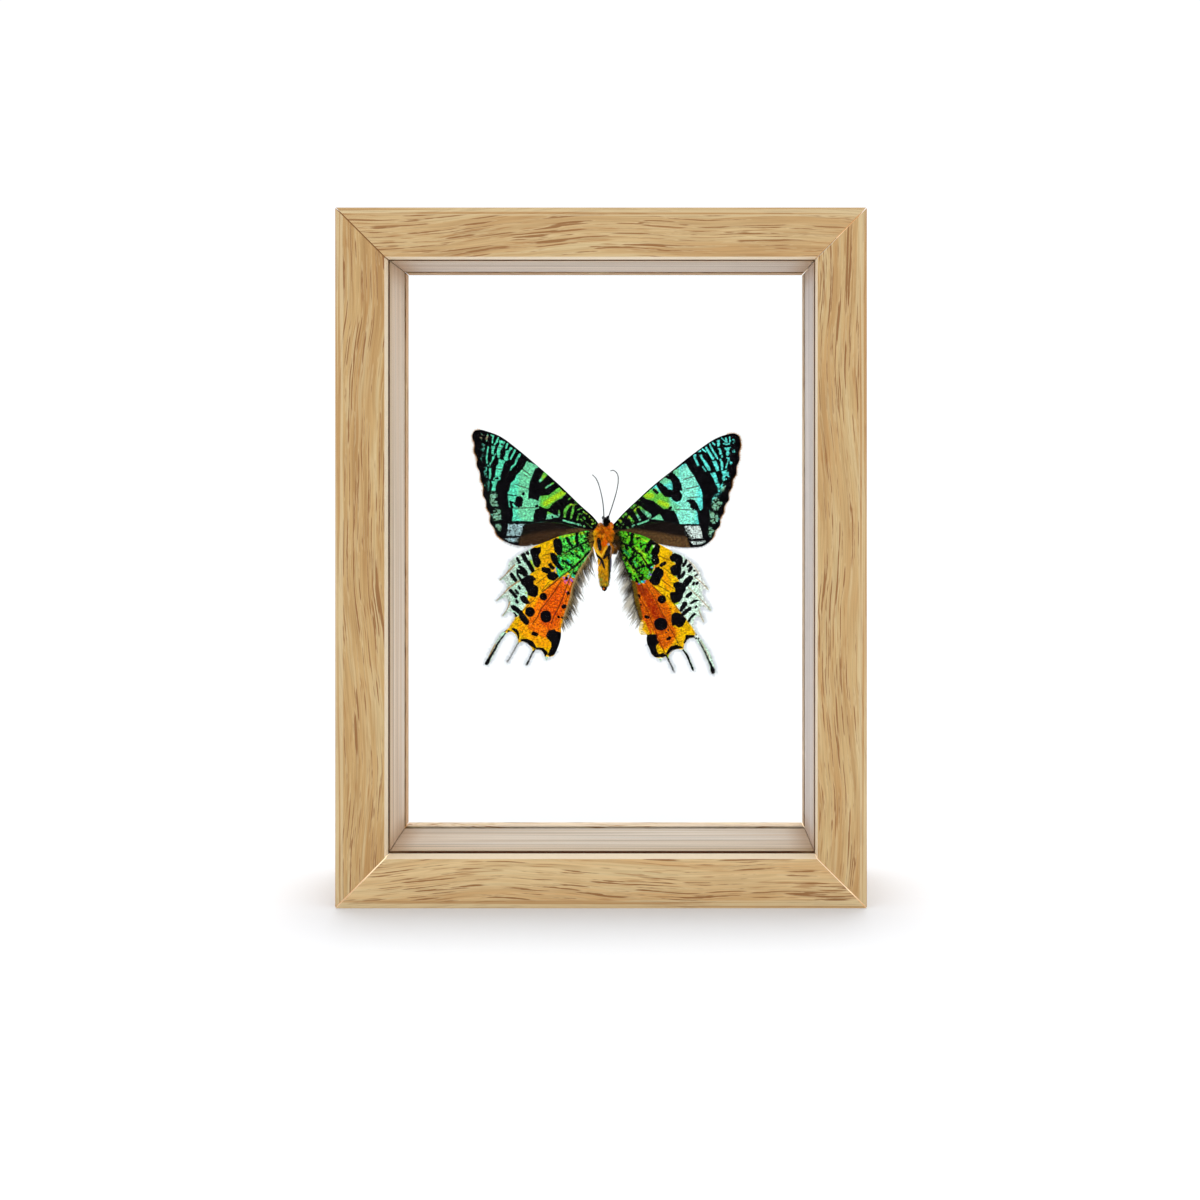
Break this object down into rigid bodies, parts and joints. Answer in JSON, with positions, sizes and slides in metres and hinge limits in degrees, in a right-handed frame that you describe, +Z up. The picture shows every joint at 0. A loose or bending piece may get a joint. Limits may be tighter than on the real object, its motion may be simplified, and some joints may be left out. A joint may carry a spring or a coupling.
{
  "type": "framed sunset moth specimen",
  "caption": "Sunset moth with spread wings, underside forward, sealed between glass panes in a standing oak frame.",
  "frame": {"origin": "middle of the underside of the frame, on the surface that it stands on", "axes": "+Z up, +X to the viewer's right, +Y away from the viewer through the panes"},
  "size_m": [0.1572, 0.038, 0.2072],
  "materials": {
    "oak_frame": "oiled oak, satin",
    "spacer_wood": "pale bare wood, matt",
    "oak_stop": "oiled oak, satin",
    "pane_glass": "clear, polished",
    "forewing_scales": "scales, turquoise and green on black, soft sheen",
    "hindwing_scales": "scales, yellow, orange, green and black, soft sheen",
    "body_hair": "fine orange hair, matt",
    "antenna_cuticle": "grey cuticle, matt",
    "clear_glue": "clear glue, glossy"
  },
  "bodies": {
    "root": {"frame_rail_left": "oak_frame", "frame_rail_right": "oak_frame", "frame_rail_top": "oak_frame", "frame_rail_bottom": "oak_frame", "spacer_left": "spacer_wood", "spacer_right": "spacer_wood", "spacer_top": "spacer_wood", "spacer_bottom": "spacer_wood", "back_stop_left": "oak_stop", "back_stop_right": "oak_stop", "back_stop_top": "oak_stop", "back_stop_bottom": "oak_stop", "glass_front": "pane_glass", "glass_back": "pane_glass", "forewing_left": "forewing_scales", "forewing_right": "forewing_scales", "hindwing_left": "hindwing_scales", "hindwing_right": "hindwing_scales", "moth_body": "body_hair", "antenna_left": "antenna_cuticle", "antenna_right": "antenna_cuticle", "glue_dot": "clear_glue"}
  },
  "joints": []
}
